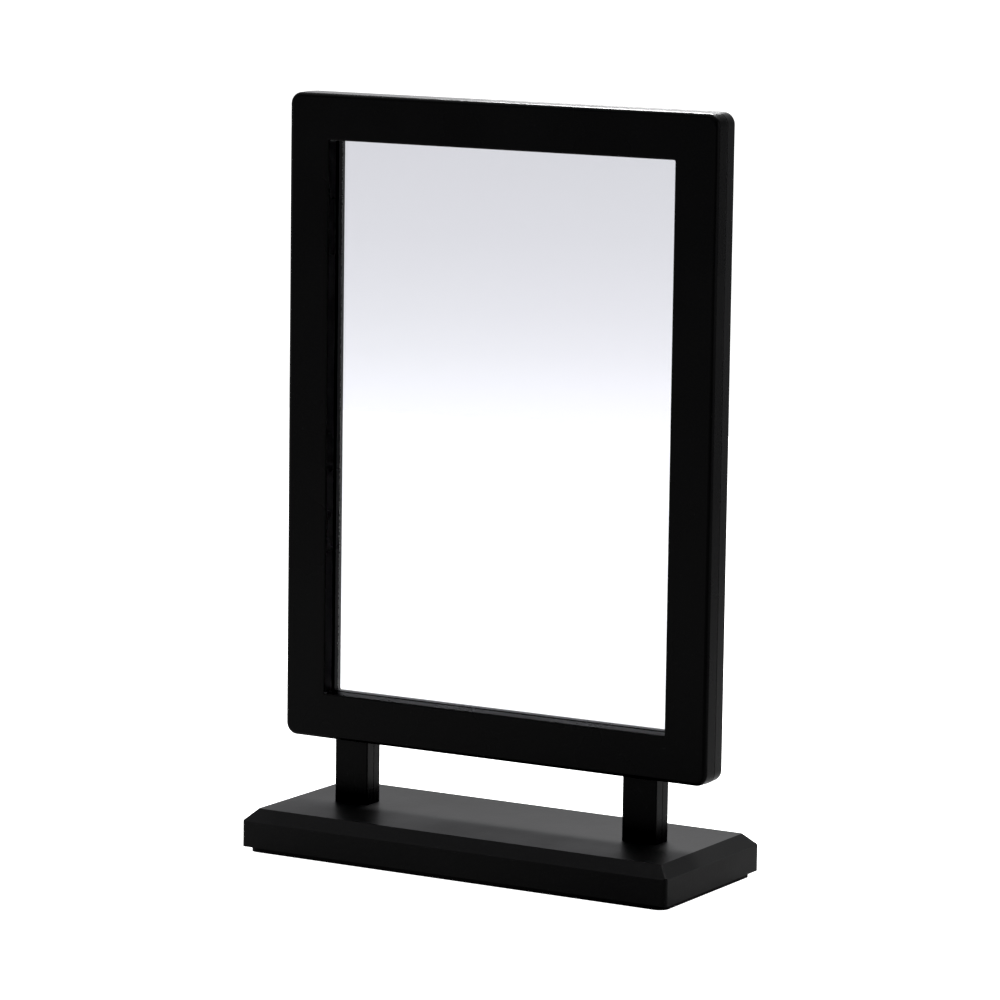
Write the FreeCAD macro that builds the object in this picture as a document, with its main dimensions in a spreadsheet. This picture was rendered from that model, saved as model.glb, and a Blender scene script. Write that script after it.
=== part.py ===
"""Countertop mirror for an optician: a two-sided mirror panel on two legs and a weighted base.

Millimetres, +Z up.  The origin is the middle of the footprint, on the surface that the feet
stand on.  The front of the mirror looks along -Y and its width runs along X.

The panel is a sandwich: two frame mouldings meet at the mid-plane (Y = 0) and clamp two panes
back to back.  Each moulding carries its half of both legs.  The legs plug into sockets in the
hollow base, where a bolt from below draws a nut that is trapped between the two half-legs.
"""
import FreeCAD, Part
import os
import Sketcher
from FreeCAD import Placement, Rotation, Vector

doc = FreeCAD.newDocument("CountertopMirror")

# --------------------------------------------------------------------- driving dimensions
DIMENSIONS = {
    "Frame": {
        "frame_width": 230.0,
        "frame_height": 310.5,
        "frame_thickness": 17.6,
        "frame_corner_radius": 5.8,
        "frame_edge_radius": 2.0,
        "side_draft": 1.5,
        "frame_wall": 2.4,
        "bar_width": 22.4,
        "lip_draft": 3.0,
        "lip_radius": 0.8,
        "opening_corner_radius": 0.8,
        "seam_radius": 0.35,
        "pocket_wall": 1.6,
    },
    "Mirrors": {
        "glass_thickness": 2.0,
        "glass_overlap": 3.5,
        "glass_arris": 0.4,
        "edge_strip": 1.0,
        "separator_thickness": 0.6,
        "separator_margin": 2.0,
    },
    "Legs": {
        "leg_width": 18.2,
        "leg_thickness": 11.8,
        "leg_spacing": 158.2,
        "leg_gap": 30.8,
        "leg_edge_radius": 0.6,
        "leg_wall": 2.0,
        "leg_solid_end": 13.4,
        "socket_play": 0.1,
        "socket_wall": 2.2,
        "socket_floor": 2.5,
        "socket_depth": 11.3,
    },
    "Base": {
        "base_width": 231.0,
        "base_depth": 92.0,
        "base_top_height": 21.8,
        "base_rim_height": 3.6,
        "base_chamfer": 5.7,
        "base_corner_radius": 1.8,
        "base_edge_radius": 0.4,
        "base_wall": 2.0,
        "base_top_thickness": 3.0,
        "inner_chamfer": 5.0,
        "cover_play": 0.1,
        "cover_flange": 2.0,
        "cover_floor": 2.0,
        "plinth_inset": 2.3,
        "plinth_corner_radius": 5.0,
        "plinth_underside": 1.05,
        "plinth_wall": 2.2,
    },
    "Ballast": {
        "ballast_length": 126.0,
        "ballast_depth": 60.0,
        "ballast_thickness": 8.0,
        "ballast_bottom": 6.1,
        "ballast_screw_span": 100.0,
        "ballast_screw_gap": 48.0,
    },
    "Feet": {
        "foot_radius": 6.5,
        "foot_thickness": 1.6,
        "foot_span": 190.0,
        "foot_gap": 56.0,
        "foot_edge_radius": 0.4,
        "foot_play": 0.1,
    },
    "Fasteners": {
        "boss_radius": 4.5,
        "screw_inset": 9.4,
        "screw_head_radius": 2.8,
        "screw_head_height": 2.0,
        "screw_shank_radius": 1.45,
        "screw_play": 0.05,
        "screw_clearance": 1.7,
        "counterbore_radius": 3.1,
        "counterbore_depth": 2.4,
        "frame_screw_length": 11.6,
        "pilot_depth": 6.0,
        "cover_screw_length": 9.5,
        "cover_screw_span": 211.0,
        "cover_screw_gap": 70.0,
        "ballast_head_radius": 3.4,
        "ballast_head_height": 2.4,
        "ballast_shank_radius": 1.75,
        "ballast_clearance": 2.2,
        "ballast_screw_length": 12.5,
        "drive_width": 0.9,
        "drive_depth": 1.1,
        "drive_reach": 0.6,
        "head_rounding": 0.4,
        "tip_chamfer": 0.35,
        "bolt_radius": 2.0,
        "bolt_head_radius": 4.0,
        "bolt_head_height": 3.0,
        "bolt_length": 12.6,
        "bolt_clearance": 2.25,
        "washer_radius": 4.5,
        "washer_thickness": 0.8,
        "nut_flats": 7.0,
        "nut_thickness": 3.2,
        "nut_play": 0.1,
        "nut_height": 16.0,
    },
}

sheet = doc.addObject("Spreadsheet::Sheet", "Size")
row = 1
for group, values in DIMENSIONS.items():
    sheet.set(f"A{row}", group)
    row += 1
    for alias, value in values.items():
        sheet.set(f"A{row}", alias.replace("_", " "))
        sheet.set(f"B{row}", str(value))
        sheet.setAlias(f"B{row}", alias)
        row += 1

# Worked-out dimensions, also in the sheet, so that every sub-part can refer to them by name.
DERIVED = {
    "frame_half": "frame_thickness / 2",
    "frame_bottom": "base_top_height + leg_gap",
    "frame_top": "base_top_height + leg_gap + frame_height",
    "frame_middle": "base_top_height + leg_gap + frame_height / 2",
    "side_growth": "frame_thickness / 2 * tan(side_draft * 1 deg)",
    "opening_half": "frame_width / 2 - bar_width",
    "opening_rise": "frame_height / 2 - bar_width",
    "glass_half": "frame_width / 2 - bar_width + glass_overlap",
    "glass_rise": "frame_height / 2 - bar_width + glass_overlap",
    "pocket_half": "frame_width / 2 - bar_width + glass_overlap + edge_strip",
    "pocket_rise": "frame_height / 2 - bar_width + glass_overlap + edge_strip",
    "pocket_depth": "glass_thickness + separator_thickness / 2",
    "leg_centre": "leg_spacing / 2",
    "leg_bottom": "base_top_height - socket_depth",
    "socket_bottom": "base_top_height - socket_depth - socket_floor",
    "shell_ceiling": "base_top_height - base_top_thickness",
    "hollow_shoulder": "base_top_height - base_top_thickness - inner_chamfer",
    "cover_top": "base_rim_height + cover_flange",
    "plinth_half": "base_width / 2 - plinth_inset",
    "plinth_reach": "base_depth / 2 - plinth_inset",
    "screw_column": "frame_width / 2 - screw_inset",
    "screw_row": "frame_height / 2 - screw_inset",
}
for alias, formula in DERIVED.items():
    sheet.set(f"A{row}", alias.replace("_", " "))
    sheet.set(f"B{row}", f"={formula}")
    sheet.setAlias(f"B{row}", alias)
    row += 1
doc.recompute()

NODES = []
TOLERANCE = 1e-3


def value(expression):
    """The number that an expression over the sheet's dimensions has now."""
    return float(sheet.evalExpression(expression))


# --------------------------------------------------------------------- small building blocks
def new_body(label):
    body = doc.addObject("PartDesign::Body", label)
    body.Label = label
    return body


def new_sketch(body, role, height="0"):
    """A sketch on one of the body's own origin planes, raised along the plane's normal."""
    sketch = body.newObject("Sketcher::SketchObject", body.Name + "_sketch")
    plane = next(item for item in body.Origin.OriginFeatures if item.Role == role)
    sketch.AttachmentSupport = (plane, [""])
    sketch.MapMode = "FlatFace"
    sketch.setExpression("AttachmentOffset.Base.z", height)
    return sketch


def fix_point(sketch, geometry, point, across, upward):
    """Dimension one point of the sketch from its origin with two expressions."""
    for kind, expression in (("DistanceX", across), ("DistanceY", upward)):
        constraint = Sketcher.Constraint(kind, -1, 1, geometry, point, value(expression))
        index = sketch.addConstraint(constraint)
        sketch.setExpression(f"Constraints[{index}]", expression)


def add_rectangle(sketch, left, right, bottom, top):
    """A rectangle between four expressions, fully constrained."""
    x0, x1, y0, y1 = (value(side) for side in (left, right, bottom, top))
    corners = [Vector(x0, y0, 0), Vector(x1, y0, 0), Vector(x1, y1, 0), Vector(x0, y1, 0)]
    first = sketch.GeometryCount
    for start, end in zip(corners, corners[1:] + corners[:1]):
        sketch.addGeometry(Part.LineSegment(start, end), False)
    for side in range(4):
        following = first + (side + 1) % 4
        sketch.addConstraint(Sketcher.Constraint("Coincident", first + side, 2, following, 1))
        direction = "Horizontal" if side % 2 == 0 else "Vertical"
        sketch.addConstraint(Sketcher.Constraint(direction, first + side))
    fix_point(sketch, first, 1, left, bottom)
    fix_point(sketch, first + 2, 1, right, top)


def add_circle(sketch, across, upward, radius):
    """A circle whose centre and radius are expressions."""
    centre = Vector(value(across), value(upward), 0)
    circle = sketch.addGeometry(Part.Circle(centre, Vector(0, 0, 1), value(radius)), False)
    fix_point(sketch, circle, 3, across, upward)
    index = sketch.addConstraint(Sketcher.Constraint("Radius", circle, value(radius)))
    sketch.setExpression(f"Constraints[{index}]", radius)


def add_hexagon(sketch, across, upward, flats):
    """A hexagon with two sides parallel to the sketch's horizontal axis."""
    centre = Vector(value(across), value(upward), 0)
    reach = value(flats) / 3 ** 0.5
    turn = Rotation(Vector(0, 0, 1), 60)
    corners = [centre + Vector(reach, 0, 0)]
    for _ in range(5):
        corners.append(centre + turn.multVec(corners[-1] - centre))
    first = sketch.GeometryCount
    for start, end in zip(corners, corners[1:] + corners[:1]):
        sketch.addGeometry(Part.LineSegment(start, end), False)
    for side in range(6):
        following = first + (side + 1) % 6
        sketch.addConstraint(Sketcher.Constraint("Coincident", first + side, 2, following, 1))
    reach_x = f"({flats}) / sqrt(3)"
    for side in range(6):
        cosine = ("1", "0.5", "-0.5", "-1", "-0.5", "0.5")[side]
        sine = ("0", "sqrt(0.75)", "sqrt(0.75)", "0", "-sqrt(0.75)", "-sqrt(0.75)")[side]
        fix_point(sketch, first + side, 1, f"{across} + {reach_x} * ({cosine})",
                  f"{upward} + {reach_x} * ({sine})")


def finish_feature(body, feature):
    body.Tip = feature
    doc.recompute()
    if "Invalid" in feature.State or "Error" in feature.State:
        raise RuntimeError(f"{feature.Name} did not compute: {feature.State}")
    return feature


def add_pad(body, sketch, length, reverse=False, draft=None):
    """Material along the sketch's normal, or against it when reversed."""
    pad = body.newObject("PartDesign::Pad", body.Name + "_pad")
    pad.Profile = sketch
    pad.setExpression("Length", length)
    pad.Reversed = reverse
    if draft:
        pad.setExpression("TaperAngle", draft)
    return finish_feature(body, pad)


def add_pocket(body, sketch, length, along_normal, draft=None):
    """A cut along the sketch's normal or against it; it has to take material away."""
    before = body.Shape.Volume
    pocket = body.newObject("PartDesign::Pocket", body.Name + "_pocket")
    pocket.Profile = sketch
    pocket.Type = "Length"
    pocket.setExpression("Length", length)
    pocket.Reversed = along_normal
    if draft:
        pocket.setExpression("TaperAngle", draft)
    finish_feature(body, pocket)
    if body.Shape.Volume > before - TOLERANCE:
        raise RuntimeError(f"{pocket.Name} cuts nothing")
    return pocket


def edge_names(shape, wanted):
    """The names of the edges whose sampled points all satisfy the test."""
    names = []
    for index, edge in enumerate(shape.Edges, start=1):
        if not edge.Degenerated and all(wanted(point) for point in edge.discretize(5)):
            names.append(f"Edge{index}")
    return names


def round_edges(body, wanted, radius):
    base = body.Tip
    fillet = body.newObject("PartDesign::Fillet", body.Name + "_fillet")
    fillet.Base = (base, edge_names(base.Shape, wanted))
    fillet.setExpression("Radius", radius)
    return finish_feature(body, fillet)


def chamfer_edges(body, wanted, size):
    base = body.Tip
    chamfer = body.newObject("PartDesign::Chamfer", body.Name + "_chamfer")
    chamfer.Base = (base, edge_names(base.Shape, wanted))
    chamfer.setExpression("Size", size)
    return finish_feature(body, chamfer)


def near(number, target):
    return abs(number - target) < TOLERANCE


def place(piece, across="0", depth="0", height="0", rotation=Rotation()):
    """Put a piece where the three expressions say, turned by a fixed rotation."""
    piece.Placement = Placement(Vector(0, 0, 0), rotation)
    piece.setExpression(".Placement.Base.x", across)
    piece.setExpression(".Placement.Base.y", depth)
    piece.setExpression(".Placement.Base.z", height)


# --------------------------------------------------------------------- panel: frame mouldings
FRAME_SCREWS = [(i, j) for i in (-1, 0, 1) for j in (-1, 0, 1) if (i, j) != (0, 0)]
SIDES = (-1, 1)


def frame_screw_circles(sketch, radius):
    """One circle at each of the eight frame screws."""
    for column, line in FRAME_SCREWS:
        add_circle(sketch, f"{column} * Size.screw_column",
                   f"Size.frame_middle + {line} * Size.screw_row", radius)


def on_frame(point):
    """True at the height of the frame's bottom edge and above."""
    return point.z > value("frame_bottom - side_growth") - TOLERANCE


def on_leg_side(point):
    """True on the left and right sides of both legs, below the frame."""
    from_centre = abs(abs(point.x) - value("leg_centre"))
    return near(from_centre, value("leg_width / 2")) and point.z < value("frame_bottom") + TOLERANCE


def in_opening(point):
    """True near the mirror opening's wall, front to back."""
    margin = 2.0
    return (abs(point.x) < value("opening_half") + margin
            and abs(point.z - value("frame_middle")) < value("opening_rise") + margin)


def at_opening_corner(point):
    margin = 2.0
    return (in_opening(point)
            and abs(point.x) > value("opening_half") - margin
            and abs(point.z - value("frame_middle")) > value("opening_rise") - margin)


def frame_half(label):
    """One frame moulding with its two half-legs, outer face towards -Y, seam face on Y = 0."""
    body = new_body(label)
    face = -value("frame_half")
    seam = 0.0

    # Outer block, drafted so that it is widest at the seam, with rounded corners and face edges.
    outline = new_sketch(body, "XZ_Plane")
    add_rectangle(outline, "-Size.frame_width / 2 - Size.side_growth",
                  "Size.frame_width / 2 + Size.side_growth",
                  "Size.frame_bottom - Size.side_growth", "Size.frame_top + Size.side_growth")
    add_pad(body, outline, "Size.frame_half", draft="-Size.side_draft")
    half_width = value("frame_width / 2")
    half_height = value("frame_height / 2")
    middle = value("frame_middle")
    round_edges(body, lambda p: abs(p.x) > half_width - TOLERANCE
                and abs(p.z - middle) > half_height - TOLERANCE, "Size.frame_corner_radius")
    round_edges(body, lambda p: near(p.y, face), "Size.frame_edge_radius")

    # Half-legs below the bottom bar.  The seam's rounding runs round the frame and down the legs.
    legs = new_sketch(body, "XZ_Plane")
    for side in SIDES:
        centre = f"{side} * Size.leg_centre"
        add_rectangle(legs, f"{centre} - Size.leg_width / 2", f"{centre} + Size.leg_width / 2",
                      "Size.leg_bottom", "Size.frame_bottom + Size.frame_wall")
    add_pad(body, legs, "Size.leg_thickness / 2")
    leg_face = -value("leg_thickness / 2")
    round_edges(body, lambda p: near(p.y, leg_face) and on_leg_side(p), "Size.leg_edge_radius")
    round_edges(body, lambda p: near(p.y, seam) and (on_frame(p) or on_leg_side(p)),
                "Size.seam_radius")

    # The mirror opening narrows from the face to the glass by the mould's draft.
    opening = new_sketch(body, "XZ_Plane", "Size.frame_half")
    flare = "Size.frame_half * tan(Size.lip_draft * 1 deg)"
    add_rectangle(opening, f"-Size.opening_half - {flare}", f"Size.opening_half + {flare}",
                  f"Size.frame_middle - Size.opening_rise - {flare}",
                  f"Size.frame_middle + Size.opening_rise + {flare}")
    add_pocket(body, opening, "Size.frame_half", False, "-Size.lip_draft")
    round_edges(body, at_opening_corner, "Size.opening_corner_radius")
    round_edges(body, lambda p: in_opening(p) and near(p.y, face), "Size.lip_radius")

    # Pocket for the glass, then the coring-out of the bars between two thin walls.
    pocket = new_sketch(body, "XZ_Plane")
    add_rectangle(pocket, "-Size.pocket_half", "Size.pocket_half",
                  "Size.frame_middle - Size.pocket_rise", "Size.frame_middle + Size.pocket_rise")
    add_pocket(body, pocket, "Size.pocket_depth", True)
    coring = new_sketch(body, "XZ_Plane")
    add_rectangle(coring, "-Size.frame_width / 2 + Size.frame_wall",
                  "Size.frame_width / 2 - Size.frame_wall",
                  "Size.frame_bottom + Size.frame_wall", "Size.frame_top - Size.frame_wall")
    add_rectangle(coring, "-Size.pocket_half - Size.pocket_wall",
                  "Size.pocket_half + Size.pocket_wall",
                  "Size.frame_middle - Size.pocket_rise - Size.pocket_wall",
                  "Size.frame_middle + Size.pocket_rise + Size.pocket_wall")
    add_pocket(body, coring, "Size.frame_half - Size.frame_wall", True)
    bosses = new_sketch(body, "XZ_Plane")
    frame_screw_circles(bosses, "Size.boss_radius")
    add_pad(body, bosses, "Size.frame_half - Size.frame_wall / 2")

    # Each leg is a channel above and solid below, with a slot for the nut and a bolt bore.
    channels = new_sketch(body, "XZ_Plane")
    nut_slots = new_sketch(body, "XZ_Plane")
    bolt_bores = new_sketch(body, "XY_Plane", "Size.leg_bottom")
    for side in SIDES:
        centre = f"{side} * Size.leg_centre"
        add_rectangle(channels, f"{centre} - Size.leg_width / 2 + Size.leg_wall",
                      f"{centre} + Size.leg_width / 2 - Size.leg_wall",
                      "Size.leg_bottom + Size.leg_solid_end", "Size.frame_bottom - Size.leg_wall")
        reach = "(Size.nut_flats / sqrt(3) + Size.nut_play)"
        add_rectangle(nut_slots, f"{centre} - {reach}", f"{centre} + {reach}",
                      "Size.nut_height - Size.nut_play",
                      "Size.nut_height + Size.nut_thickness + Size.nut_play")
        add_circle(bolt_bores, centre, "0", "Size.bolt_clearance")
    add_pocket(body, channels, "Size.leg_thickness / 2 - Size.leg_wall", True)
    add_pocket(body, nut_slots, "Size.nut_flats / 2 + Size.nut_play", True)
    add_pocket(body, bolt_bores, "Size.leg_solid_end + Size.frame_wall", True)
    return body


def make_front_frame():
    """Front moulding: blind pilot holes for the frame screws open at the seam."""
    body = frame_half("front_frame")
    pilots = new_sketch(body, "XZ_Plane")
    frame_screw_circles(pilots, "Size.screw_shank_radius + Size.screw_play")
    add_pocket(body, pilots, "Size.pilot_depth", True)
    return body


def make_rear_frame():
    """Rear moulding: the same shape turned about Z, with counterbored screw holes."""
    body = frame_half("rear_frame")
    clearance = new_sketch(body, "XZ_Plane")
    frame_screw_circles(clearance, "Size.screw_clearance")
    add_pocket(body, clearance, "Size.frame_half", True)
    counterbores = new_sketch(body, "XZ_Plane", "Size.frame_half")
    frame_screw_circles(counterbores, "Size.counterbore_radius")
    add_pocket(body, counterbores, "Size.counterbore_depth", False)
    place(body, rotation=Rotation(Vector(0, 0, 1), 180))
    return body


# --------------------------------------------------------------------- panel: mirrors
def make_mirror(label, facing):
    """One silvered pane with ground arrises; facing is -1 for the front one, 1 for the rear."""
    body = new_body(label)
    outline = new_sketch(body, "XZ_Plane", f"{-facing} * Size.separator_thickness / 2")
    add_rectangle(outline, "-Size.glass_half", "Size.glass_half",
                  "Size.frame_middle - Size.glass_rise", "Size.frame_middle + Size.glass_rise")
    add_pad(body, outline, "Size.glass_thickness", reverse=facing > 0)
    inner = facing * value("separator_thickness / 2")
    outer = facing * value("pocket_depth")
    chamfer_edges(body, lambda p: near(p.y, inner) or near(p.y, outer), "Size.glass_arris")
    return body


def make_box(label, width, depth, height, across, back, bottom):
    """A Part::Box centred on across, with its front face at back and underside at bottom."""
    box = doc.addObject("Part::Box", label)
    box.Label = label
    box.setExpression("Length", width)
    box.setExpression("Width", depth)
    box.setExpression("Height", height)
    place(box, f"{across} - ({width}) / 2", back, bottom)
    return box


def make_separator():
    """Thin plastic sheet between the painted backs of the two panes."""
    return make_box("mirror_separator",
                    "2 * (Size.glass_half - Size.separator_margin)", "Size.separator_thickness",
                    "2 * (Size.glass_rise - Size.separator_margin)",
                    "0", "-Size.separator_thickness / 2",
                    "Size.frame_middle - Size.glass_rise + Size.separator_margin")


def make_edge_strips():
    """Foam strips that fill the gap between the panes' edges and the pocket, one on each side."""
    thickness = "2 * Size.pocket_depth"
    front = "-Size.pocket_depth"
    lying = "2 * Size.pocket_half"
    standing = "2 * Size.glass_rise"
    middle = "(Size.glass_half + Size.edge_strip / 2)"
    bottom = "Size.frame_middle - Size.glass_rise"
    return [
        make_box("top_edge_strip", lying, thickness, "Size.edge_strip",
                 "0", front, "Size.frame_middle + Size.glass_rise"),
        make_box("bottom_edge_strip", lying, thickness, "Size.edge_strip",
                 "0", front, "Size.frame_middle - Size.pocket_rise"),
        make_box("left_edge_strip", "Size.edge_strip", thickness, standing,
                 f"-{middle}", front, bottom),
        make_box("right_edge_strip", "Size.edge_strip", thickness, standing,
                 middle, front, bottom),
    ]


# --------------------------------------------------------------------- base
BALLAST_SCREWS = [(i, j) for i in (-1, 1) for j in (-1, 1)]
COVER_SCREWS = [(i, j) for i in (-1, 0, 1) for j in (-1, 1)]
FEET = {
    "front_left_foot": (-1, -1),
    "front_right_foot": (1, -1),
    "rear_left_foot": (-1, 1),
    "rear_right_foot": (1, 1),
}


def ballast_screw_circles(sketch, radius):
    for column, line in BALLAST_SCREWS:
        add_circle(sketch, f"{column} * Size.ballast_screw_span / 2",
                   f"{line} * Size.ballast_screw_gap / 2", radius)


def cover_screw_circles(sketch, radius):
    for column, line in COVER_SCREWS:
        add_circle(sketch, f"{column} * Size.cover_screw_span / 2",
                   f"{line} * Size.cover_screw_gap / 2", radius)


def add_footprint(sketch, inset):
    """The base's rectangle, drawn in by an expression on all four sides."""
    add_rectangle(sketch, f"-Size.base_width / 2 + {inset}", f"Size.base_width / 2 - {inset}",
                  f"-Size.base_depth / 2 + {inset}", f"Size.base_depth / 2 - {inset}")


def add_leg_rectangles(sketch, margin):
    """The section of both legs, grown by an expression on all four sides."""
    for side in SIDES:
        centre = f"{side} * Size.leg_centre"
        add_rectangle(sketch, f"{centre} - Size.leg_width / 2 - {margin}",
                      f"{centre} + Size.leg_width / 2 + {margin}",
                      f"-Size.leg_thickness / 2 - {margin}", f"Size.leg_thickness / 2 + {margin}")


def make_base_shell():
    """Hollow moulding, open below, with a chamfered top, two leg sockets and screw bosses."""
    body = new_body("base_shell")
    top = value("base_top_height")

    block = new_sketch(body, "XY_Plane", "Size.base_rim_height")
    add_footprint(block, "0")
    add_pad(body, block, "Size.base_top_height - Size.base_rim_height")
    chamfer_edges(body, lambda p: near(p.z, top), "Size.base_chamfer")
    half_width = value("base_width / 2")
    half_depth = value("base_depth / 2")
    round_edges(body, lambda p: near(half_width - abs(p.x), half_depth - abs(p.y)),
                "Size.base_corner_radius")
    round_edges(body, lambda p: near(p.z, top), "Size.base_edge_radius")

    # The hollow keeps its distance from the chamfer by closing in at 45 degrees near the ceiling.
    hollow = new_sketch(body, "XY_Plane", "Size.base_rim_height")
    add_footprint(hollow, "Size.base_wall")
    add_pocket(body, hollow, "Size.hollow_shoulder - Size.base_rim_height", True)
    vault = new_sketch(body, "XY_Plane", "Size.hollow_shoulder")
    add_footprint(vault, "Size.base_wall")
    add_pocket(body, vault, "Size.inner_chamfer", True, "-45")

    # Everything that hangs from the ceiling runs a little way into it, so that it is one piece.
    rooted = "Size.shell_ceiling + Size.base_top_thickness / 2"
    sockets = new_sketch(body, "XY_Plane", "Size.socket_bottom")
    add_leg_rectangles(sockets, "(Size.socket_play + Size.socket_wall)")
    add_pad(body, sockets, f"{rooted} - Size.socket_bottom")
    ballast_bosses = new_sketch(body, "XY_Plane", "Size.ballast_bottom + Size.ballast_thickness")
    ballast_screw_circles(ballast_bosses, "Size.boss_radius")
    add_pad(body, ballast_bosses, f"{rooted} - Size.ballast_bottom - Size.ballast_thickness")
    cover_bosses = new_sketch(body, "XY_Plane", "Size.cover_top")
    cover_screw_circles(cover_bosses, "Size.boss_radius")
    add_pad(body, cover_bosses, f"{rooted} - Size.cover_top")

    mouths = new_sketch(body, "XY_Plane", "Size.base_top_height")
    add_leg_rectangles(mouths, "Size.socket_play")
    add_pocket(body, mouths, "Size.socket_depth", False)
    bolt_holes = new_sketch(body, "XY_Plane", "Size.socket_bottom")
    for side in SIDES:
        add_circle(bolt_holes, f"{side} * Size.leg_centre", "0", "Size.bolt_clearance")
    add_pocket(body, bolt_holes, "Size.socket_floor + Size.socket_play", True)
    ballast_pilots = new_sketch(body, "XY_Plane", "Size.ballast_bottom + Size.ballast_thickness")
    ballast_screw_circles(ballast_pilots, "Size.ballast_shank_radius + Size.screw_play")
    add_pocket(body, ballast_pilots, "Size.base_top_thickness + Size.frame_wall", True)
    cover_pilots = new_sketch(body, "XY_Plane", "Size.cover_top")
    cover_screw_circles(cover_pilots, "Size.screw_shank_radius + Size.screw_play")
    add_pocket(body, cover_pilots, "Size.cover_screw_length", True)
    return body


def make_base_cover():
    """Stepped bottom plate: a flange that closes the shell and a shallow plinth below it."""
    body = new_body("base_cover")
    flange = new_sketch(body, "XY_Plane", "Size.base_rim_height")
    add_footprint(flange, "(Size.base_wall + Size.cover_play)")
    add_pad(body, flange, "Size.cover_flange")
    plinth = new_sketch(body, "XY_Plane", "Size.plinth_underside")
    add_footprint(plinth, "Size.plinth_inset")
    add_pad(body, plinth, "Size.base_rim_height - Size.plinth_underside")
    below_flange = value("base_rim_height") + TOLERANCE
    round_edges(body, lambda p: p.z < below_flange and near(abs(p.x), value("plinth_half"))
                and near(abs(p.y), value("plinth_reach")), "Size.plinth_corner_radius")

    tray = new_sketch(body, "XY_Plane", "Size.cover_top")
    add_footprint(tray, "(Size.plinth_inset + Size.plinth_wall)")
    add_pocket(body, tray, "Size.cover_top - Size.plinth_underside - Size.cover_floor", False)
    bosses = new_sketch(body, "XY_Plane", "Size.plinth_underside")
    cover_screw_circles(bosses, "Size.boss_radius")
    add_pad(body, bosses, "Size.cover_top - Size.plinth_underside")

    holes = new_sketch(body, "XY_Plane", "Size.plinth_underside")
    cover_screw_circles(holes, "Size.screw_clearance")
    add_pocket(body, holes, "Size.cover_top - Size.plinth_underside", True)
    counterbores = new_sketch(body, "XY_Plane", "Size.plinth_underside")
    cover_screw_circles(counterbores, "Size.counterbore_radius")
    add_pocket(body, counterbores, "Size.counterbore_depth", True)
    recesses = new_sketch(body, "XY_Plane", "Size.plinth_underside")
    for column, line in FEET.values():
        add_circle(recesses, f"{column} * Size.foot_span / 2", f"{line} * Size.foot_gap / 2",
                   "Size.foot_radius + Size.foot_play")
    add_pocket(body, recesses, "Size.foot_thickness - Size.plinth_underside", True)
    return body


def make_ballast_plate():
    """Steel plate that weighs the base down, screwed up against the shell's bosses."""
    body = new_body("ballast_plate")
    outline = new_sketch(body, "XY_Plane", "Size.ballast_bottom")
    add_rectangle(outline, "-Size.ballast_length / 2", "Size.ballast_length / 2",
                  "-Size.ballast_depth / 2", "Size.ballast_depth / 2")
    add_pad(body, outline, "Size.ballast_thickness")
    holes = new_sketch(body, "XY_Plane", "Size.ballast_bottom")
    ballast_screw_circles(holes, "Size.ballast_clearance")
    add_pocket(body, holes, "Size.ballast_thickness", True)
    return body


def make_foot(label, column, line):
    """Round rubber pad, sunk in a recess of the cover and standing a little proud of it."""
    body = new_body(label)
    disc = new_sketch(body, "XY_Plane")
    add_circle(disc, "0", "0", "Size.foot_radius")
    add_pad(body, disc, "Size.foot_thickness")
    round_edges(body, lambda p: near(p.z, 0.0), "Size.foot_edge_radius")
    place(body, f"{column} * Size.foot_span / 2", f"{line} * Size.foot_gap / 2")
    return body


# --------------------------------------------------------------------- fasteners
def make_screw(label, head_radius, head_height, shank_radius, length):
    """Round-headed screw along +Z: head below Z = 0, shank above, crossed slots in the head."""
    body = new_body(label)
    head = new_sketch(body, "XY_Plane")
    add_circle(head, "0", "0", head_radius)
    add_pad(body, head, head_height, reverse=True)
    bottom = -value(head_height)
    round_edges(body, lambda p: near(p.z, bottom), f"{head_height} * Size.head_rounding")
    shank = new_sketch(body, "XY_Plane")
    add_circle(shank, "0", "0", shank_radius)
    add_pad(body, shank, length)
    tip = value(length)
    chamfer_edges(body, lambda p: near(p.z, tip), f"{shank_radius} * Size.tip_chamfer")
    cross = new_sketch(body, "XY_Plane", f"-({head_height})")
    long_half = f"{head_radius} * Size.drive_reach"
    short_half = "Size.drive_width / 2"
    add_rectangle(cross, f"-{long_half}", long_half, f"-{short_half}", short_half)
    add_pocket(body, cross, "Size.drive_depth", True)
    second = new_sketch(body, "XY_Plane", f"-({head_height})")
    add_rectangle(second, f"-{short_half}", short_half, f"-{long_half}", long_half)
    add_pocket(body, second, "Size.drive_depth", True)
    return body


def gather(label, pieces):
    """One sub-part that holds identical, separate pieces."""
    group = doc.addObject("Part::Compound", label)
    group.Label = label
    group.Links = pieces
    return group


def make_frame_screws():
    screws = []
    for column, line in FRAME_SCREWS:
        screw = make_screw("frame_screw", "Size.screw_head_radius", "Size.screw_head_height",
                           "Size.screw_shank_radius", "Size.frame_screw_length")
        place(screw, f"{column} * Size.screw_column", "Size.frame_half - Size.counterbore_depth",
              f"Size.frame_middle + {line} * Size.screw_row", Rotation(Vector(1, 0, 0), 90))
        screws.append(screw)
    return gather("frame_screws", screws)


def make_cover_screws():
    screws = []
    for column, line in COVER_SCREWS:
        screw = make_screw("cover_screw", "Size.screw_head_radius", "Size.screw_head_height",
                           "Size.screw_shank_radius", "Size.cover_screw_length")
        place(screw, f"{column} * Size.cover_screw_span / 2", f"{line} * Size.cover_screw_gap / 2",
              "Size.plinth_underside + Size.counterbore_depth")
        screws.append(screw)
    return gather("cover_screws", screws)


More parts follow.
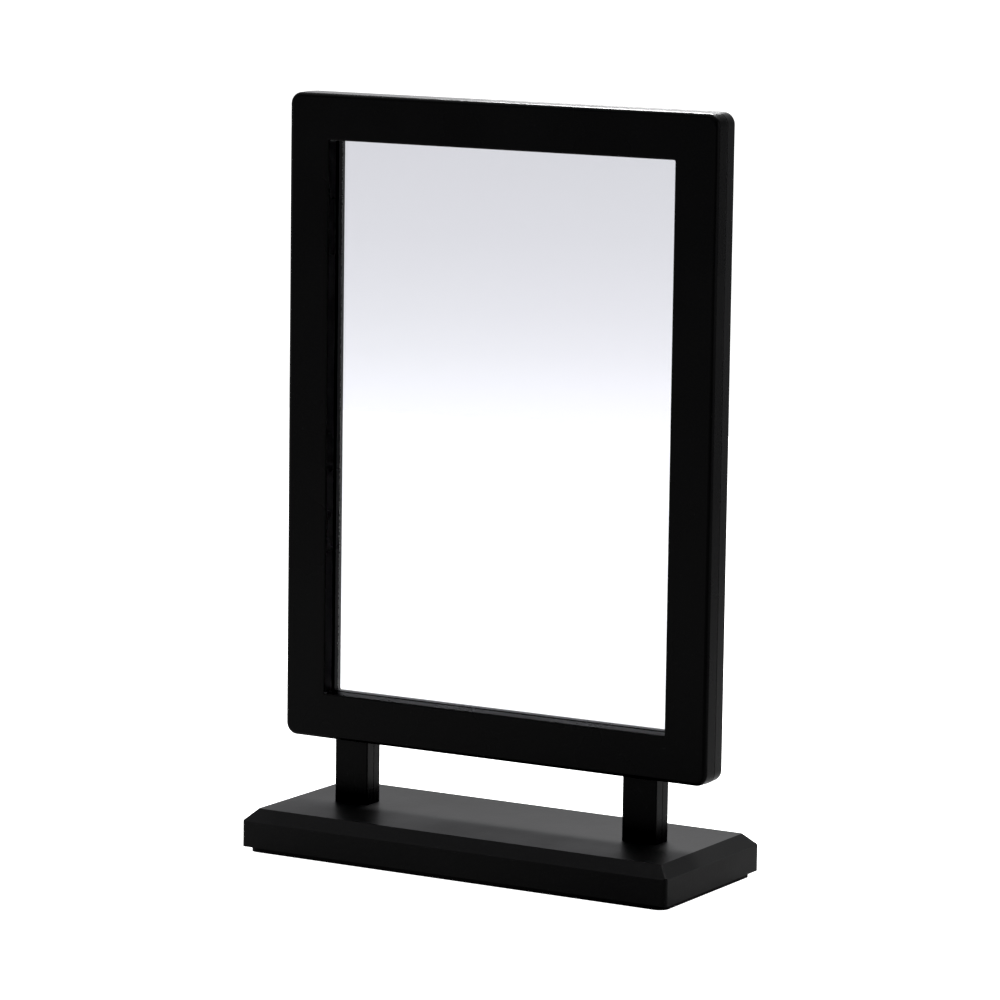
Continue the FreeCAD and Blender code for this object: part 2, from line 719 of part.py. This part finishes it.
def make_ballast_screws():
    screws = []
    for column, line in BALLAST_SCREWS:
        screw = make_screw("ballast_screw", "Size.ballast_head_radius", "Size.ballast_head_height",
                           "Size.ballast_shank_radius", "Size.ballast_screw_length")
        place(screw, f"{column} * Size.ballast_screw_span / 2",
              f"{line} * Size.ballast_screw_gap / 2", "Size.ballast_bottom")
        screws.append(screw)
    return gather("ballast_screws", screws)


def make_leg_hardware(name, side):
    """Bolt, washer and trapped nut that hold one leg in its socket."""
    centre = f"{side} * Size.leg_centre"
    bolt = make_screw(f"{name}_leg_bolt", "Size.bolt_head_radius", "Size.bolt_head_height",
                      "Size.bolt_radius", "Size.bolt_length")
    place(bolt, centre, "0", "Size.socket_bottom - Size.washer_thickness")

    washer = new_body(f"{name}_leg_washer")
    ring = new_sketch(washer, "XY_Plane")
    add_circle(ring, "0", "0", "Size.washer_radius")
    add_circle(ring, "0", "0", "Size.bolt_clearance")
    add_pad(washer, ring, "Size.washer_thickness")
    place(washer, centre, "0", "Size.socket_bottom - Size.washer_thickness")

    nut = new_body(f"{name}_leg_nut")
    outline = new_sketch(nut, "XY_Plane")
    add_hexagon(outline, "0", "0", "Size.nut_flats")
    add_circle(outline, "0", "0", "Size.bolt_radius + Size.screw_play")
    add_pad(nut, outline, "Size.nut_thickness")
    place(nut, centre, "0", "Size.nut_height")
    return [bolt, washer, nut]


NODES.append(make_front_frame())
NODES.append(make_rear_frame())
NODES.append(make_mirror("front_mirror", -1))
NODES.append(make_mirror("rear_mirror", 1))
NODES.append(make_separator())
NODES.extend(make_edge_strips())
NODES.append(make_frame_screws())
NODES.append(make_base_shell())
NODES.append(make_base_cover())
NODES.append(make_ballast_plate())
NODES.append(make_ballast_screws())
NODES.append(make_cover_screws())
NODES.extend(make_leg_hardware("left", -1))
NODES.extend(make_leg_hardware("right", 1))
for foot_label, (column, line) in FEET.items():
    NODES.append(make_foot(foot_label, column, line))

# --------------------------------------------------------------------- check and write
doc.recompute()
for item in doc.Objects:
    if "Invalid" in item.State or "Error" in item.State:
        raise RuntimeError(f"{item.Name} ({item.TypeId}) did not compute: {item.State}")
for node in NODES:
    if node.Shape.isNull() or not node.Shape.isValid():
        raise RuntimeError(f"{node.Label} has no valid shape")

os.makedirs("parts", exist_ok=True)
for node in NODES:
    node.Shape.exportStep(f"parts/{node.Label}.step")
    box = node.Shape.BoundBox
    print(f"{node.Label:20s} solids {len(node.Shape.Solids):2d}  volume {node.Shape.Volume:10.1f}"
          f"  x {box.XMin:8.2f} {box.XMax:8.2f}  y {box.YMin:7.2f} {box.YMax:7.2f}"
          f"  z {box.ZMin:7.2f} {box.ZMax:7.2f}")
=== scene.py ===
import math

import bmesh
import bpy
from mathutils import Matrix, Vector


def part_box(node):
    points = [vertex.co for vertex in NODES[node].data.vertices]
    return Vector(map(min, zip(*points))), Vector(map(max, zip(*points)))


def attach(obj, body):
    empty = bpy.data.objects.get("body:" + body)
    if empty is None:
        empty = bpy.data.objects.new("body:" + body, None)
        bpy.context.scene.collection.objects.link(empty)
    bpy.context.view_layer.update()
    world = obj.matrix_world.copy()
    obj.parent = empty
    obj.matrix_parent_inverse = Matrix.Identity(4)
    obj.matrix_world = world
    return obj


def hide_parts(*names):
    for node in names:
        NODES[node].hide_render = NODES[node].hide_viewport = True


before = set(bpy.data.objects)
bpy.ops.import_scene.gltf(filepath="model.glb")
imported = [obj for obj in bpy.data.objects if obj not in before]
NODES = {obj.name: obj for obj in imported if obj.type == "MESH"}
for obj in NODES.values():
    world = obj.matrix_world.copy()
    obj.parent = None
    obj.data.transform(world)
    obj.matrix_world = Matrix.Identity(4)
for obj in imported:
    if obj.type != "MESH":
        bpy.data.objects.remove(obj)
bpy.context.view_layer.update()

# A free-standing two-sided counter mirror. Everything is in metres, with the
# front of the object towards -Y and the counter at Z = 0.

MILLIMETRE = 0.001


# ---------------------------------------------------------------- shader tools


def new_material(name):
    """An empty node material, with its tree and its Principled shader."""
    material = bpy.data.materials.new(name)
    material.use_nodes = True
    tree = material.node_tree
    return material, tree, tree.nodes["Principled BSDF"]


def node(tree, kind, links=(), **settings):
    """Adds a shader node. links are (input, value or output socket) pairs."""
    made = tree.nodes.new(kind)
    for name, value in settings.items():
        setattr(made, name, value)
    for socket, value in links:
        if isinstance(value, bpy.types.NodeSocket):
            tree.links.new(value, made.inputs[socket])
        else:
            made.inputs[socket].default_value = value
    return made


def place_coordinates(tree):
    """Coordinates in the object's own frame, in metres."""
    return node(tree, "ShaderNodeTexCoord").outputs["Object"]


def noise(tree, where, size, detail=2.0, seed=0.0):
    """A noise whose lumps are about size metres across, from 0 to 1."""
    texture = node(
        tree,
        "ShaderNodeTexNoise",
        (("Vector", where), ("W", seed), ("Scale", 1 / size), ("Detail", detail)),
        noise_dimensions="4D",
    )
    return texture.outputs["Fac"]


def spread(tree, value, low, high, to_low, to_high):
    """value, with low to high stretched to to_low to to_high."""
    links = (
        ("Value", value),
        ("From Min", low),
        ("From Max", high),
        ("To Min", to_low),
        ("To Max", to_high),
    )
    return node(tree, "ShaderNodeMapRange", links).outputs["Result"]


def smooth_step(tree, value, start, end):
    """0 up to start and 1 from end, with a soft change between them."""
    links = (("Value", value), ("From Min", start), ("From Max", end))
    step = node(tree, "ShaderNodeMapRange", links, interpolation_type="SMOOTHSTEP")
    return step.outputs["Result"]


def maths(tree, operation, first, second):
    """One arithmetic step on two numbers or sockets."""
    links = ((0, first), (1, second))
    return node(tree, "ShaderNodeMath", links, operation=operation).outputs["Value"]


def blend_colours(tree, share, first, second):
    """first where share is 0 and second where share is 1."""
    mixer = node(
        tree,
        "ShaderNodeMix",
        (("Factor", share), ("A", first), ("B", second)),
        data_type="RGBA",
    )
    return mixer.outputs["Result"]


# How alike the true normal and the rounded one are on a flat face and on an edge.
FLAT_ALIKE = 0.995
EDGE_ALIKE = 0.90


def edge_share(tree, width):
    """1 on the outer edges that hands and cloths polish, 0 on flat faces."""
    rounded = node(tree, "ShaderNodeBevel", (("Radius", width),), samples=4)
    flat = node(tree, "ShaderNodeNewGeometry").outputs["Normal"]
    links = ((0, rounded.outputs["Normal"]), (1, flat))
    alike = node(tree, "ShaderNodeVectorMath", links, operation="DOT_PRODUCT")
    return spread(tree, alike.outputs["Value"], FLAT_ALIKE, EDGE_ALIKE, 0.0, 1.0)


def bump(tree, height, depth, under=None):
    """A bump whose full height is depth metres, on top of another bump."""
    links = [("Height", height), ("Distance", depth), ("Strength", 1.0)]
    if under is not None:
        links.append(("Normal", under))
    return node(tree, "ShaderNodeBump", links).outputs["Normal"]


def grey(level, warmth=0.0):
    """A near-neutral colour: warmth above 0 leans to brown, below 0 to blue."""
    return (level * (1 + warmth), level, level * (1 - warmth), 1.0)


# ------------------------------------------------------------------- materials


CLOUD_SIZE = 35 * MILLIMETRE
PLASTIC_WEAR = 0.9 * MILLIMETRE
PLASTIC_SWING = 0.04
METAL_WEAR = 0.25 * MILLIMETRE
METAL_SWING = 0.07


def moulded_plastic(name, dark, light, roughness, grain, depth, polish):
    """Black plastic with the fine spark-eroded grain of its mould.

    dark and light are the greys of its clouds, grain and depth the size and
    height of its grain, and polish the gloss that its worn edges gain.
    """
    material, tree, shader = new_material(name)
    where = place_coordinates(tree)
    clouds = noise(tree, where, CLOUD_SIZE, detail=3.0)
    speckle = noise(tree, where, 1.1 * grain, detail=4.0, seed=3.0)
    worn = edge_share(tree, PLASTIC_WEAR)
    body = blend_colours(tree, spread(tree, clouds, 0.3, 0.7, 0.0, 1.0), grey(dark), grey(light))
    dots = spread(tree, speckle, 0.52, 0.72, 0.0, 0.5)
    dotted = blend_colours(tree, dots, body, grey(light * 1.8, 0.02))
    coloured = blend_colours(tree, maths(tree, "MULTIPLY", worn, 0.5), dotted, grey(light * 1.5))
    tree.links.new(coloured, shader.inputs["Base Color"])
    smooth, rough = roughness - PLASTIC_SWING, roughness + PLASTIC_SWING
    patchy = spread(tree, clouds, 0.25, 0.75, smooth, rough)
    gloss = maths(tree, "SUBTRACT", patchy, maths(tree, "MULTIPLY", worn, polish))
    tree.links.new(gloss, shader.inputs["Roughness"])
    pebbles = noise(tree, where, 3.2 * grain, seed=7.0)
    pebbled = bump(tree, pebbles, 1.5 * depth, under=bump(tree, speckle, depth))
    tree.links.new(pebbled, shader.inputs["Normal"])
    return material, shader


def frame_plastic():
    material, shader = moulded_plastic(
        "frame_plastic",
        dark=0.0016,
        light=0.0021,
        roughness=0.28,
        grain=0.45 * MILLIMETRE,
        depth=0.003 * MILLIMETRE,
        polish=0.06,
    )
    shader.inputs["Specular IOR Level"].default_value = 0.04
    return material


def base_plastic():
    material, shader = moulded_plastic(
        "base_plastic",
        dark=0.0023,
        light=0.0032,
        roughness=0.45,
        grain=0.60 * MILLIMETRE,
        depth=0.016 * MILLIMETRE,
        polish=0.10,
    )
    shader.inputs["Specular IOR Level"].default_value = 0.06
    return material


# The cover's greys are darker than the base's plastic: painted shade, standing in for the shadow
# under the base where the cover sits.
def cover_plastic():
    material, shader = moulded_plastic(
        "cover_plastic",
        dark=0.0012,
        light=0.0017,
        roughness=0.58,
        grain=0.60 * MILLIMETRE,
        depth=0.014 * MILLIMETRE,
        polish=0.06,
    )
    shader.inputs["Specular IOR Level"].default_value = 0.05
    return material


def float_glass():
    """Clear glass with a faint cool tint and, in places, a slight haze."""
    material, tree, shader = new_material("float_glass")
    where = place_coordinates(tree)
    shader.inputs["Transmission Weight"].default_value = 1.0
    shader.inputs["IOR"].default_value = 1.5
    tint = noise(tree, where, 120 * MILLIMETRE, detail=1.0)
    colour = blend_colours(tree, tint, (0.975, 0.985, 0.985, 1.0), (0.98, 0.982, 0.99, 1.0))
    tree.links.new(colour, shader.inputs["Base Color"])
    breath = noise(tree, where, 60 * MILLIMETRE, seed=5.0)
    haze = spread(tree, breath, 0.62, 0.8, 0.0, 0.01)
    tree.links.new(haze, shader.inputs["Roughness"])
    return material


def ground_glass():
    """The ground arris and edge of a pane: grey-green and frosted."""
    material, tree, shader = new_material("ground_glass_edge")
    where = place_coordinates(tree)
    scratches = noise(tree, where, 0.3 * MILLIMETRE, detail=3.0)
    colour = blend_colours(tree, scratches, (0.05, 0.07, 0.065, 1.0), (0.09, 0.12, 0.11, 1.0))
    tree.links.new(colour, shader.inputs["Base Color"])
    rough = spread(tree, scratches, 0.3, 0.7, 0.45, 0.65)
    tree.links.new(rough, shader.inputs["Roughness"])
    tree.links.new(bump(tree, scratches, 0.02 * MILLIMETRE), shader.inputs["Normal"])
    return material


def silvering():
    """The silver coat, with faint clouding and a few pinholes."""
    material, tree, shader = new_material("silvering")
    where = place_coordinates(tree)
    shader.inputs["Metallic"].default_value = 1.0
    clouds = noise(tree, where, 90 * MILLIMETRE)
    silver = blend_colours(tree, clouds, (0.925, 0.92, 0.945, 1.0), (0.935, 0.932, 0.955, 1.0))
    cells = node(
        tree,
        "ShaderNodeTexVoronoi",
        (("Vector", where), ("Scale", 1 / (17 * MILLIMETRE)), ("Randomness", 1.0)),
    )
    pinhole = spread(tree, cells.outputs["Distance"], 0.012, 0.022, 1.0, 0.0)
    patches = noise(tree, where, 40 * MILLIMETRE, detail=0.0, seed=9.0)
    chosen = spread(tree, patches, 0.60, 0.62, 0.0, 0.6)
    dots = maths(tree, "MULTIPLY", pinhole, chosen)
    colour = blend_colours(tree, dots, silver, grey(0.25))
    tree.links.new(colour, shader.inputs["Base Color"])
    tree.links.new(spread(tree, dots, 0.0, 1.0, 0.0, 0.5), shader.inputs["Roughness"])
    return material


def backing_paint():
    """The grey paint that protects the silver from behind."""
    material, tree, shader = new_material("backing_paint")
    where = place_coordinates(tree)
    ripple = noise(tree, where, 4 * MILLIMETRE, detail=3.0)
    colour = blend_colours(tree, ripple, grey(0.12, 0.05), grey(0.16, 0.05))
    tree.links.new(colour, shader.inputs["Base Color"])
    tree.links.new(spread(tree, ripple, 0.3, 0.7, 0.45, 0.6), shader.inputs["Roughness"])
    tree.links.new(bump(tree, ripple, 0.02 * MILLIMETRE), shader.inputs["Normal"])
    return material


def separator_sheet():
    """The grey board between the two painted backs."""
    material, tree, shader = new_material("separator_sheet")
    where = place_coordinates(tree)
    mottle = noise(tree, where, 2 * MILLIMETRE, detail=4.0)
    colour = blend_colours(tree, mottle, grey(0.18), grey(0.24))
    tree.links.new(colour, shader.inputs["Base Color"])
    tree.links.new(spread(tree, mottle, 0.3, 0.7, 0.55, 0.7), shader.inputs["Roughness"])
    tree.links.new(bump(tree, mottle, 0.01 * MILLIMETRE), shader.inputs["Normal"])
    return material


def edge_foam():
    """Closed-cell foam strip: soft cells with darker cell walls."""
    material, tree, shader = new_material("edge_foam")
    where = place_coordinates(tree)
    links = (("Vector", where), ("Scale", 1 / (0.7 * MILLIMETRE)))
    cells = node(tree, "ShaderNodeTexVoronoi", links).outputs["Distance"]
    colour = blend_colours(tree, cells, grey(0.035), grey(0.012))
    tree.links.new(colour, shader.inputs["Base Color"])
    tree.links.new(spread(tree, cells, 0.0, 1.0, 0.75, 0.95), shader.inputs["Roughness"])
    tree.links.new(bump(tree, cells, 0.08 * MILLIMETRE), shader.inputs["Normal"])
    return material


def metal(name, dark, light, roughness, lump, depth):
    """Plated or rolled metal, with patches of colour and fine tool marks."""
    material, tree, shader = new_material(name)
    where = place_coordinates(tree)
    shader.inputs["Metallic"].default_value = 1.0
    patches = noise(tree, where, lump, detail=3.0)
    marks = noise(tree, where, 0.25 * MILLIMETRE, seed=4.0)
    worn = edge_share(tree, METAL_WEAR)
    colour = blend_colours(tree, patches, dark, light)
    bright = tuple(min(1.0, channel * 1.5) for channel in light[:3]) + (1.0,)
    rubbed = blend_colours(tree, maths(tree, "MULTIPLY", worn, 0.6), colour, bright)
    tree.links.new(rubbed, shader.inputs["Base Color"])
    smooth, coarse = roughness - METAL_SWING, roughness + METAL_SWING
    rough = spread(tree, patches, 0.3, 0.7, smooth, coarse)
    polished = maths(tree, "SUBTRACT", rough, maths(tree, "MULTIPLY", worn, 0.1))
    tree.links.new(polished, shader.inputs["Roughness"])
    tree.links.new(bump(tree, marks, depth), shader.inputs["Normal"])
    return material


def black_screw_metal():
    return metal(
        "black_oxide",
        dark=grey(0.022),
        light=grey(0.040, -0.05),
        roughness=0.42,
        lump=2 * MILLIMETRE,
        depth=0.008 * MILLIMETRE,
    )


def zinc_metal():
    return metal(
        "zinc_plate",
        dark=grey(0.42, 0.02),
        light=grey(0.60, -0.04),
        roughness=0.36,
        lump=3 * MILLIMETRE,
        depth=0.006 * MILLIMETRE,
    )


def ballast_metal():
    return metal(
        "rolled_steel",
        dark=grey(0.10, 0.05),
        light=grey(0.19, 0.03),
        roughness=0.52,
        lump=9 * MILLIMETRE,
        depth=0.02 * MILLIMETRE,
    )


def foot_rubber():
    """Matt black rubber with dust in its pores."""
    material, tree, shader = new_material("foot_rubber")
    where = place_coordinates(tree)
    shader.inputs["Specular IOR Level"].default_value = 0.25
    dust = noise(tree, where, 1.4 * MILLIMETRE, detail=4.0)
    share = spread(tree, dust, 0.55, 0.8, 0.0, 0.6)
    colour = blend_colours(tree, share, grey(0.010), grey(0.045, 0.05))
    tree.links.new(colour, shader.inputs["Base Color"])
    tree.links.new(spread(tree, dust, 0.3, 0.7, 0.70, 0.85), shader.inputs["Roughness"])
    tree.links.new(bump(tree, dust, 0.03 * MILLIMETRE), shader.inputs["Normal"])
    return material


# ------------------------------------------------------------------- mirrors

# Each CAD pane is one solid. The real one is clear glass with a silver coat
# and paint on its back, and the coat is what the viewer looks into, 2 mm deep.
ARRIS = 0.4 * MILLIMETRE
COAT_DEPTH = 0.05 * MILLIMETRE
COAT_GAP = 0.01 * MILLIMETRE
COAT_MARGIN = 0.5 * MILLIMETRE
ARRIS_STEPS = 2


def box_mesh(low, high):
    """A box in bmesh between two corners."""
    mesh = bmesh.new()
    size = high - low
    centre = (low + high) / 2
    fit = Matrix.Translation(centre) @ Matrix.Diagonal((*size, 1.0))
    bmesh.ops.create_cube(mesh, size=1.0, matrix=fit)
    return mesh


def finish_mesh(mesh, name, materials):
    """Turns a bmesh into an object of the scene."""
    bmesh.ops.recalc_face_normals(mesh, faces=mesh.faces)
    data = bpy.data.meshes.new(name)
    mesh.to_mesh(data)
    mesh.free()
    for material in materials:
        data.materials.append(material)
    piece = bpy.data.objects.new(name, data)
    bpy.context.scene.collection.objects.link(piece)
    return piece


def make_glass(side, low, high, glass, edge):
    """The clear pane, with its ground arris and edge in a second material."""
    mesh = box_mesh(low, high)
    bmesh.ops.bevel(
        mesh,
        geom=list(mesh.edges),
        offset=ARRIS,
        segments=ARRIS_STEPS,
        profile=0.5,
        affect="EDGES",
        clamp_overlap=True,
    )
    for face in mesh.faces:
        face.normal_update()
        face.material_index = 0 if abs(face.normal.y) > 0.99 else 1
    pane = finish_mesh(mesh, side + "_pane_glass", (glass, edge))
    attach(pane, "root")
    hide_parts(side + "_mirror")


def make_coat(side, low, high, facing, silver, paint):
    """The silver coat: mirror towards the glass, paint on its other faces."""
    mesh = box_mesh(low, high)
    bmesh.ops.subdivide_edges(mesh, edges=list(mesh.edges), cuts=1, use_grid_fill=True)
    for face in mesh.faces:
        face.normal_update()
        face.material_index = 0 if face.normal.y * facing > 0.5 else 1
    coat = finish_mesh(mesh, side + "_silvering", (silver, paint))
    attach(coat, "root")


def make_mirror(side, facing, glass, edge, silver, paint):
    """One pane. facing is -1 where it looks to the front and +1 to the rear."""
    low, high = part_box(side + "_mirror")
    back = high.y if facing < 0 else low.y
    glass_back = back + facing * (COAT_DEPTH + COAT_GAP)
    coat_front = back + facing * COAT_DEPTH
    glass_low, glass_high = low.copy(), high.copy()
    margin = Vector((COAT_MARGIN, 0, COAT_MARGIN))
    coat_low, coat_high = low + margin, high - margin
    if facing < 0:
        glass_high.y = glass_back
        coat_low.y = coat_front
    else:
        glass_low.y = glass_back
        coat_high.y = coat_front
    make_glass(side, glass_low, glass_high, glass, edge)
    make_coat(side, coat_low, coat_high, facing, silver, paint)


def make_mirrors():
    glass = float_glass()
    edge = ground_glass()
    silver = silvering()
    paint = backing_paint()
    make_mirror("front", -1, glass, edge, silver, paint)
    make_mirror("rear", 1, glass, edge, silver, paint)


# ----------------------------------------------------------- CAD node finishes


def paint_nodes(material, names):
    """Gives CAD nodes a finish; their shapes stay as the CAD has them."""
    for name in names:
        data = NODES[name].data
        data.materials.clear()
        data.materials.append(material)


def paint_cad():
    legs = [side + "_leg_" + part for side in ("left", "right") for part in ("bolt", "washer", "nut")]
    strips = [side + "_edge_strip" for side in ("top", "bottom", "left", "right")]
    feet = [end + "_" + side + "_foot" for end in ("front", "rear") for side in ("left", "right")]
    paint_nodes(frame_plastic(), ["front_frame", "rear_frame"])
    paint_nodes(base_plastic(), ["base_shell"])
    paint_nodes(cover_plastic(), ["base_cover"])
    paint_nodes(separator_sheet(), ["mirror_separator"])
    paint_nodes(edge_foam(), strips)
    paint_nodes(black_screw_metal(), ["frame_screws", "cover_screws"])
    paint_nodes(zinc_metal(), ["ballast_screws"] + legs)
    paint_nodes(ballast_metal(), ["ballast_plate"])
    paint_nodes(foot_rubber(), feet)


# ------------------------------------------------------------ stage and lights

FLOOR_RADIUS = 1.42
FLOOR_CENTRE = Vector((-0.6, 0.0, 0.0))
FLOOR_SIDES = 128
FLOOR_GREY = 0.3
# The light that the floor sends to the object: less close to the base, most
# further out on the left and least on the right. NEAR_END and GLOW_START are
# distances from the origin; LEFT_END and RIGHT_START are places along X.
FLOOR_NEAR = 0.55
FLOOR_GLOW = 0.93
FLOOR_DIM = 0.10
NEAR_END = 0.20
GLOW_START = 0.45
LEFT_END = 0.0
RIGHT_START = 0.14
# The camera sees the floor and the room themselves plain white.
SEEN_WHITE = 1.3


def make_floor():
    """The plain pale disc that the mirror stands on. It glows as painted light on the object: less
    near the base, as painted shade, most on the left and little on the right. Where the camera sees
    it directly, it is plain white.
    """
    material, tree, shader = new_material("stage_white")
    shader.inputs["Base Color"].default_value = grey(FLOOR_GREY)
    shader.inputs["Roughness"].default_value = 0.9
    shader.inputs["Specular IOR Level"].default_value = 0.1
    shader.inputs["Emission Color"].default_value = grey(1.0)
    where = place_coordinates(tree)
    side = node(tree, "ShaderNodeSeparateXYZ", ((0, where),)).outputs["X"]
    away = node(tree, "ShaderNodeVectorMath", ((0, where),), operation="LENGTH").outputs["Value"]
    # The glow is painted light, and its drop near the base is painted shade.
    left = spread(tree, away, NEAR_END, GLOW_START, FLOOR_NEAR, FLOOR_GLOW)
    glow = spread(tree, side, LEFT_END, RIGHT_START, left, FLOOR_DIM)
    seen = node(tree, "ShaderNodeLightPath").outputs["Is Camera Ray"]
    white = maths(tree, "MULTIPLY", seen, SEEN_WHITE)
    tree.links.new(maths(tree, "MAXIMUM", glow, white), shader.inputs["Emission Strength"])
    mesh = bmesh.new()
    bmesh.ops.create_circle(
        mesh,
        cap_ends=True,
        segments=FLOOR_SIDES,
        radius=FLOOR_RADIUS,
        matrix=Matrix.Translation(FLOOR_CENTRE),
    )
    floor = finish_mesh(mesh, "stage_floor", (material,))


# The room that lights the object and shows in the mirror. Each part of it has
# (degrees above the horizon, grey) pairs, and all are tinted a little blue.
ROOM_BLUE = 1.03
# In front it fades from the white of the floor's edge to a pale grey below
# the horizon, and it has a bright ceiling.
ROOM_LEVELS = (
    (-7.5, 1.15),
    (-6.95, 1.01),
    (-6.5, 0.925),
    (-5.5, 0.82),
    (-4.4, 0.768),
    (5.0, 0.62),
    (15.0, 0.55),
    (30.0, 0.60),
    (65.0, 1.50),
)
# Behind the object there is a low white backdrop.
BACKDROP_LEVELS = ((-7.5, 1.1), (15.0, 1.1), (30.0, 0.3), (65.0, 1.00))
# The right side is dim above the floor's edge.
RIGHT_LEVELS = (
    (-18.0, 0.95),
    (-13.0, 0.80),
    (-9.0, 0.34),
    (5.0, 0.26),
    (18.0, 0.25),
    (45.0, 0.60),
    (65.0, 1.00),
)
# Straight to the right there is a low bright window.
WINDOW_LEVELS = ((-7.5, 1.0), (0.0, 2.0), (25.0, 2.0), (40.0, 0.60), (65.0, 1.00))
# The direction of the backdrop's middle. Each EDGE says how far a direction
# leans that way, or to the right, where the part starts and where it is whole.
BACKDROP_SIDE = Vector((-0.5, 0.866, 0.0))
BACKDROP_EDGE = (0.60, 0.90)
RIGHT_EDGE = (0.0, 0.5)
WINDOW_EDGE = (0.80, 0.96)


def height_ramp(tree, height, levels):
    """A grey for each elevation, from (degrees above the horizon, grey) pairs."""
    share = node(tree, "ShaderNodeMapRange", (("Value", height), ("From Min", -1.0)))
    ramp = node(tree, "ShaderNodeValToRGB", ((0, share.outputs["Result"]),))
    stops = ramp.color_ramp.elements
    while len(stops) < len(levels):
        stops.new(0.5)
    for stop, (degrees, level) in zip(stops, levels):
        stop.position = (math.sin(math.radians(degrees)) + 1) / 2
        stop.color = (level, level, level * ROOM_BLUE, 1.0)
    return ramp.outputs["Color"]


def make_world():
    """The room: plain white to the camera, and its own greys to the object."""
    world = bpy.data.worlds.new("studio")
    bpy.context.scene.world = world
    world.use_nodes = True
    tree = world.node_tree
    sky = tree.nodes["Background"]
    aim = node(tree, "ShaderNodeTexCoord").outputs["Generated"]
    along = node(tree, "ShaderNodeSeparateXYZ", ((0, aim),)).outputs
    links = ((0, aim), (1, BACKDROP_SIDE))
    backwards = node(tree, "ShaderNodeVectorMath", links, operation="DOT_PRODUCT").outputs["Value"]
    room = height_ramp(tree, along["Z"], ROOM_LEVELS)
    right = height_ramp(tree, along["Z"], RIGHT_LEVELS)
    window = height_ramp(tree, along["Z"], WINDOW_LEVELS)
    backdrop = height_ramp(tree, along["Z"], BACKDROP_LEVELS)
    studio = blend_colours(tree, smooth_step(tree, along["X"], *RIGHT_EDGE), room, right)
    studio = blend_colours(tree, smooth_step(tree, along["X"], *WINDOW_EDGE), studio, window)
    studio = blend_colours(tree, smooth_step(tree, backwards, *BACKDROP_EDGE), studio, backdrop)
    seen = node(tree, "ShaderNodeLightPath").outputs["Is Camera Ray"]
    tree.links.new(blend_colours(tree, seen, studio, grey(SEEN_WHITE)), sky.inputs["Color"])


def add_softbox(name, place, aim, size, power):
    """A plain rectangular soft light of size (width, depth) metres and power watts."""
    data = bpy.data.lights.new(name, "AREA")
    data.shape = "RECTANGLE"
    data.size, data.size_y = size
    data.energy = power
    lamp = bpy.data.objects.new(name, data)
    lamp.location = place
    lamp.rotation_euler = (Vector(aim) - Vector(place)).to_track_quat("-Z", "Y").to_euler()
    bpy.context.scene.collection.objects.link(lamp)


def make_lights():
    """A high softbox over the object, and a small near one behind it for its top edges."""
    add_softbox(
        "softbox_top", place=(0.3, 1.0, 2.0), aim=(0.0, 0.0, 0.1), size=(1.6, 1.0), power=30.0
    )
    add_softbox(
        "softbox_back", place=(-0.15, 0.40, 0.72), aim=(0.0, 0.0, 0.05), size=(0.30, 0.15), power=16.0
    )


# ---------------------------------------------------------------------- camera

CAMERA_AZIMUTH = math.radians(30.21)
CAMERA_ELEVATION = math.radians(8.47)
CAMERA_ROLL = math.radians(0.79)
CAMERA_DISTANCE = 2.295
CAMERA_LENS = 175.5
CAMERA_AIM = Vector((-0.0016, 0.0, 0.1757))


def make_camera():
    """A long lens a little to the right of the mirror and above it."""
    away = Vector(
        (
            math.sin(CAMERA_AZIMUTH) * math.cos(CAMERA_ELEVATION),
            -math.cos(CAMERA_AZIMUTH) * math.cos(CAMERA_ELEVATION),
            math.sin(CAMERA_ELEVATION),
        )
    )
    level_turn = away.to_track_quat("Z", "Y").to_matrix().to_4x4()
    roll = Matrix.Rotation(CAMERA_ROLL, 4, "Z")
    data = bpy.data.cameras.new("camera")
    data.lens = CAMERA_LENS
    camera = bpy.data.objects.new("camera", data)
    camera.matrix_world = Matrix.Translation(CAMERA_AIM + away * CAMERA_DISTANCE) @ level_turn @ roll
    bpy.context.scene.collection.objects.link(camera)
    bpy.context.scene.camera = camera


BLACK_POINT = 0.0020


def set_exposure():
    """A plain view whose darkest tones fall to black."""
    view = bpy.context.scene.view_settings
    view.view_transform = "Standard"
    view.look = "None"
    view.use_curve_mapping = True
    view.curve_mapping.black_level = (BLACK_POINT, BLACK_POINT, BLACK_POINT)


paint_cad()
make_mirrors()
make_floor()
make_world()
make_lights()
make_camera()
set_exposure()
